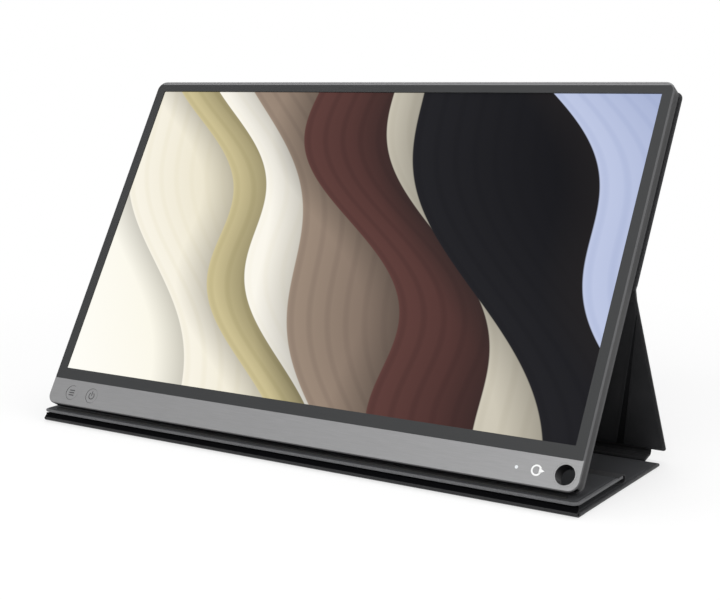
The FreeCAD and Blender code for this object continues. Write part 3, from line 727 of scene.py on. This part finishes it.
def cover_panel(panel, low_corner, high_corner, leather, creased=False):
    """One panel with its lining. The two corner radii are for its lower and upper ends.
    A creased panel has parted fields on its outside too."""
    radii = [low_corner, low_corner, high_corner, high_corner]
    outer_face = panel.low.z + LINING_STAND if creased else panel.low.z
    panel_shell(panel, outer_face, radii, leather)
    low, high = inset_box(panel.low, panel.high, LINING_BORDER)
    inner_radii = [max(radius - LINING_BORDER, FOLD_CORNER) for radius in radii]
    fields = crease_fields(low, high) if creased else [(box_outline(low, high), inner_radii)]
    lining_levels = (panel.top - LINING_DEPTH, panel.top)
    lay_fields(panel, "lining", fields, lining_levels, lining_fibre, panel.lining)
    if creased:
        outside_levels = (panel.low.z, panel.low.z + LINING_DEPTH)
        lay_fields(panel, "outside", fields, outside_levels, leather, panel.skin)


cover_panel(back_panel, FOLD_CORNER, FREE_CORNER, skin_leather)
cover_panel(prop_panel, PROP_FOOT_CORNER, FOLD_CORNER, skin_leather, creased=True)
cover_panel(base_panel, FOLD_CORNER, BASE_REAR_CORNER, base_leather)
cover_panel(leaf_panel, FOLD_CORNER, FOLD_CORNER, shaded_leather)
cover_panel(rest_panel, FREE_CORNER, FOLD_CORNER, rest_leather)

# A strip of soft leather runs under the lining along each slanted crease of the prop; its dark, dull tone is
# painted shade in the crease

STRIP_WIDTH = 10.0 * MM
STRIP_END_BELOW = 1.5 * STRIP_WIDTH
STRIP_END_ABOVE = STRIP_WIDTH
STRIP_CORNER = 0.3 * MM
STRIP_FOOT_INSET = 0.1 * MM
STRIP_CROWN_INSET = 0.4 * MM
STRIP_CROWN_DEPTH = 0.12 * MM


def crease_strip(label, hand):
    """The strip of one crease. hand is -1 for the left one and 1 for the right one."""
    low, high = inset_box(prop_panel.low, prop_panel.high, LINING_BORDER)
    top = prop_panel.top
    foot, end = crease_ends(high)
    corners = [
        ((foot - STRIP_WIDTH / 2) * hand, low.y),
        ((foot + STRIP_WIDTH / 2) * hand, low.y),
        (high.x * hand, end - STRIP_END_BELOW),
        (high.x * hand, end + STRIP_END_ABOVE),
    ]
    if hand < 0:
        corners.reverse()
    profile = [
        (STRIP_FOOT_INSET, top - LINING_DEPTH),
        (0.0, top - LINING_STAND),
        (STRIP_CROWN_INSET, top - STRIP_CROWN_DEPTH),
    ]
    radii = [STRIP_CORNER] * len(corners)
    name = "prop_crease_" + label
    strip = slab(name, prop_panel, corners, radii, profile, crease_leather)
    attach(strip, prop_panel.body)


crease_strip("left", -1)
crease_strip("right", 1)

# The spine is two soft layers with no board. It is narrow, and is sewn to the band of the fold beside it.

SPINE_SEAM_INSET = 1.6 * MM
SPINE_SEAM_DEPTH = 0.2 * MM


def spine_layers():
    corners = box_outline(spine_panel.low, spine_panel.high)
    radii = [FOLD_CORNER] * len(corners)
    profile = slab_profile(spine_panel.low.z, spine_panel.top, EDGE, SPINE_SEAM_INSET, SPINE_SEAM_DEPTH)
    layers = slab("case_spine", spine_panel, corners, radii, profile, skin_leather)
    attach(layers, spine_panel.body)
    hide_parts(spine_panel.skin, spine_panel.lining)
    return layers


sewn_spine = spine_layers()

# Folds: a band of leather bent round the turning line, from one panel's face to the next

BAND_LAP = 6.5 * MM
BAND_DEPTH = 0.4 * MM
BAND_STAND = 0.04 * MM
BAND_STEPS = 14
APEX_DEPTH = 1.6 * MM

# The side of the panels that the outside of a bend shows
SKIN_SIDE = -1
LINING_SIDE = 1

# A pinched bend is drawn in to a share of its reach. Start and length are shares of the bend.
FRONT_PINCH = 0.15
PINCH_START = 0.4
PINCH_LENGTH = 0.3


def turned_to(panel, direction):
    """The panel's Y direction, or its opposite, whichever points the given way."""
    return panel.along if direction.dot(panel.along) > 0 else -panel.along


def band_lap(panel):
    """How far a band runs onto a panel, which is never further than to its middle."""
    return min(BAND_LAP, (panel.high.y - panel.low.y) / 2)


def fold_reach(axis, panel, side):
    """How far the turning line lies from the panel's face on the outside of the bend."""
    face = panel.low.z if side == SKIN_SIDE else panel.top
    return abs(axis.dot(panel.normal) - face)


def band_line(axis, first, second, side, radius, pinch):
    """One face of a band, seen along the fold: a lap on each panel and the bend between them."""
    start_arm = first.normal * side
    end_arm = second.normal * side
    arrive = turned_to(first, axis - middle(first.skin))
    leave = turned_to(second, middle(second.skin) - axis)
    first_angle = math.atan2(start_arm.z, start_arm.y)
    way = math.copysign(1, Vector((0, -start_arm.z, start_arm.y)).dot(arrive))
    turn = (math.atan2(end_arm.z, end_arm.y) - first_angle) * way % math.tau * way
    line = [axis + start_arm * radius - arrive * band_lap(first)]
    for step in range(BAND_STEPS + 1):
        share = step / BAND_STEPS
        angle = first_angle + turn * share
        spoke = Vector((0, math.cos(angle), math.sin(angle))) * radius
        slack = (1 - pinch) * min(max((share - PINCH_START) / PINCH_LENGTH, 0.0), 1.0)
        line.append(axis + spoke - arrive * max(spoke.dot(arrive), 0.0) * slack)
    line.append(axis + end_arm * radius + leave * band_lap(second))
    return line


def shade_far_half(band, axis, start_arm):
    """Shades the half of a bend that lies across the turning line from the first panel's face."""
    band.data.materials.append(shaded_leather)
    for face in band.data.polygons:
        face.material_index = int((face.center - axis).dot(start_arm) < 0)


def fold_band(fold, first, second, side, leather, pinch=1.0, depth=BAND_DEPTH, bend_width=max):
    """A band from the first panel to the second, as wide as each panel at its ends. bend_width picks
    the width of the bend from those two.
    pinch draws the second half of the bend in, where it lies slack under the next panel."""
    axis = Vector(named(frame["joints"], fold + "_fold")["pos_m"])
    axis.x = 0
    outer_radius = fold_reach(axis, first, side) + BAND_STAND
    outer = band_line(axis, first, second, side, outer_radius, pinch)
    inner = band_line(axis, first, second, side, outer_radius - depth, pinch)
    section = outer + inner[::-1]
    widths = [panel.high.x - EDGE / 2 for panel in (first, second)]
    halves = [widths[0]] + [bend_width(widths)] * (BAND_STEPS + 1) + [widths[1]]
    halves += halves[::-1]
    rings = []
    for hand in (-1, 1):
        rings.append([point + ACROSS * half * hand for point, half in zip(section, halves)])
    band = stacked("fold_" + fold, rings, leather)
    if pinch < 1.0:
        shade_far_half(band, axis, first.normal * side)
    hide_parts(fold + "_fold_web")
    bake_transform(band)


fold_band("front", base_panel, leaf_panel, SKIN_SIDE, fold_leather, pinch=FRONT_PINCH)
fold_band("middle", leaf_panel, rest_panel, LINING_SIDE, skin_leather)
fold_band("spine", base_panel, spine_panel, SKIN_SIDE, skin_leather, bend_width=min)
fold_band("prop", spine_panel, prop_panel, SKIN_SIDE, skin_leather, bend_width=min)
fold_band("apex", prop_panel, back_panel, LINING_SIDE, skin_leather, depth=APEX_DEPTH)

# Printed marks on the chin and the keys, as thin films on the surface

PRINT_DEPTH = 0.04 * MM
RING_STEPS = 28
MENU_BAR_HALF = 2.0 * MM
MENU_BAR_RISE = 0.35 * MM
MENU_BAR_PITCH = 1.5 * MM
POWER_RING = 2.3 * MM
POWER_LINE = 0.6 * MM
POWER_GAP = 70
SIGN_OFFSET = 11.0 * MM
SIGN_RING = 2.9 * MM
SIGN_LINE = 0.9 * MM
SIGN_TIP = 1.5 * MM
SIGN_GAP = 50


def film(name, level, outlines, body, material):
    """Flat prints, each a closed outline in the screen's axes, lying on the face at a level."""
    points = []
    faces = []
    for outline in outlines:
        start = len(points)
        count = len(outline)
        for height in (level, level + PRINT_DEPTH):
            points += [screen_axes.world(x, y, height) for x, y in outline]
        faces.append(tuple(range(start, start + count)))
        faces.append(tuple(range(start + count, start + 2 * count)))
        faces += side_faces(start, count)
    piece = new_piece(name, points, faces, material)
    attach(piece, body)


def open_ring(x, y, outer, line, gap_at, gap):
    """The outline of a ring of a line's width with a gap in it. Angles are in degrees."""
    first = gap_at + gap / 2
    last = gap_at + 360 - gap / 2
    angles = [math.radians(first + (last - first) * step / RING_STEPS) for step in range(RING_STEPS + 1)]
    inner = outer - line
    outline = [(x + outer * math.cos(angle), y + outer * math.sin(angle)) for angle in angles]
    outline += [(x + inner * math.cos(angle), y + inner * math.sin(angle)) for angle in reversed(angles)]
    return outline


def front_place(node):
    """The middle of a node across and up the screen, and the level of its front."""
    low, high = screen_axes.box(node)
    return (low.x + high.x) / 2, (low.y + high.y) / 2, high.z


def menu_mark():
    x, y, face = front_place("menu_key")
    bars = []
    for row in (-1, 0, 1):
        bottom = y + row * MENU_BAR_PITCH - MENU_BAR_RISE
        top = bottom + 2 * MENU_BAR_RISE
        bars.append(rectangle(x - MENU_BAR_HALF, bottom, x + MENU_BAR_HALF, top))
    film("menu_mark", face, bars, "menu_key", mark_dark)


def power_mark():
    x, y, face = front_place("power_key")
    ring = open_ring(x, y, POWER_RING, POWER_LINE, gap_at=90, gap=POWER_GAP)
    stroke = rectangle(x - POWER_LINE / 2, y, x + POWER_LINE / 2, y + POWER_RING + POWER_LINE)
    film("power_mark", face, [ring, stroke], "power_key", mark_dark)


def light_sign():
    """An open ring with an arrow tip in its gap, beside the status light."""
    light_x, y, _ = front_place("light_pipe")
    x = light_x + SIGN_OFFSET
    chin_face = screen_axes.box("main_frame")[1].z
    ring = open_ring(x, y, SIGN_RING, SIGN_LINE, gap_at=0, gap=SIGN_GAP)
    gap_x = x + SIGN_RING
    tip = [(gap_x - SIGN_TIP, y - SIGN_TIP), (gap_x + SIGN_TIP, y), (gap_x - SIGN_TIP, y + SIGN_TIP)]
    film("light_sign", chin_face, [ring, tip], "monitor", mark_white)


menu_mark()
power_mark()
light_sign()

# Studio: a pale floor, soft lamps and a white surround

WHITE = (1, 1, 1, 1)
SURROUND_LIGHT = 0.42
FLOOR_REACH = 6.0
FLOOR_DROP = 0.3 * MM
FLOOR_COLOUR = (0.92, 0.92, 0.92, 1)

# How white the floor shows close to the object, how far out that holds, and where it is fully white
NEAR_WHITENESS = 0.66
NEAR_REACH = 0.2
WHITE_REACH = 0.55


def background_rays(tree):
    """1 for the rays that show the white background: the camera's, reflected and through glass."""
    paths = add(tree, "LightPath").outputs
    clear = math_node(tree, "MAXIMUM", paths["Is Camera Ray"], paths["Is Transmission Ray"])
    return math_node(tree, "MAXIMUM", clear, paths["Is Glossy Ray"])


def surround_world():
    """A surround that is white where it shows and gives less light than that to the object."""
    world = bpy.data.worlds.new("studio")
    bpy.context.scene.world = world
    world.use_nodes = True
    tree = world.node_tree
    strength = ramp(tree, background_rays(tree), 0.0, 1.0, to_low=SURROUND_LIGHT)
    fill(tree, tree.nodes["Background"], {"Color": WHITE, "Strength": strength})


def floor_paper():
    """White where it shows the background, less the shadow of the object close to it."""
    material, tree, shader = new_material("floor_paper")
    fill(tree, shader, {"Base Color": FLOOR_COLOUR, "Roughness": 0.9})
    distance = add(tree, "VectorMath", {0: own_place(tree)}, operation="LENGTH").outputs["Value"]
    whiteness = ramp(tree, distance, NEAR_REACH, WHITE_REACH, to_low=NEAR_WHITENESS)
    seen = math_node(tree, "MULTIPLY", background_rays(tree), whiteness)
    white = add(tree, "Emission", {"Color": WHITE, "Strength": 1.0}).outputs[0]
    mixed = add(tree, "MixShader", {0: seen, 1: shader.outputs[0], 2: white}).outputs[0]
    fill(tree, tree.nodes["Material Output"], {"Surface": mixed})
    return material


def pale_floor():
    mesh = bpy.data.meshes.new("floor")
    corners = rectangle(-FLOOR_REACH, -FLOOR_REACH, FLOOR_REACH, FLOOR_REACH)
    mesh.from_pydata([(x, y, 0) for x, y in corners], [], [(0, 1, 2, 3)])
    mesh.materials.append(floor_paper())
    floor = bpy.data.objects.new("floor", mesh)
    floor.location.z = -FLOOR_DROP
    bpy.context.scene.collection.objects.link(floor)


def soft_lamp(name, at, aim, size, power):
    data = bpy.data.lights.new(name, "AREA")
    data.shape = "RECTANGLE"
    data.size, data.size_y = size
    data.energy = power
    lamp = bpy.data.objects.new(name, data)
    lamp.location = at
    lamp.rotation_euler = (Vector(aim) - Vector(at)).to_track_quat("-Z", "Y").to_euler()
    bpy.context.scene.collection.objects.link(lamp)


surround_world()
pale_floor()
soft_lamp("front_softbox", at=(0.15, -1.3, 1.15), aim=(0, 0, 0.08), size=(1.2, 0.8), power=14)
soft_lamp("right_softbox", at=(1.3, -0.2, 0.7), aim=(0, 0, 0.08), size=(0.7, 0.9), power=3.5)
soft_lamp("top_softbox", at=(0.0, 0.35, 1.5), aim=(0, 0, 0.1), size=(1.2, 0.8), power=10)

# Camera, fitted to the edges of the screen and the base in the photograph

CAMERA_PLACE = Vector((456.8, -649.0, 219.8)) * MM
CAMERA_YAW = math.radians(33.904)
CAMERA_PITCH = math.radians(9.807)
CAMERA_ROLL = math.radians(-0.75)
CAMERA_LENS = 70.7
CAMERA_SENSOR = 36.0
NEAREST_SEEN = 0.01


def photo_camera():
    data = bpy.data.cameras.new("camera")
    data.lens = CAMERA_LENS
    data.sensor_width = CAMERA_SENSOR
    data.clip_start = NEAREST_SEEN
    camera = bpy.data.objects.new("camera", data)
    bpy.context.scene.collection.objects.link(camera)
    turned = Matrix.Rotation(CAMERA_YAW, 4, "Z") @ Matrix.Rotation(math.pi / 2 - CAMERA_PITCH, 4, "X")
    camera.matrix_world = Matrix.Translation(CAMERA_PLACE) @ turned @ Matrix.Rotation(CAMERA_ROLL, 4, "Z")
    return camera


bpy.context.scene.camera = photo_camera()
bpy.context.scene.view_settings.view_transform = "Standard"
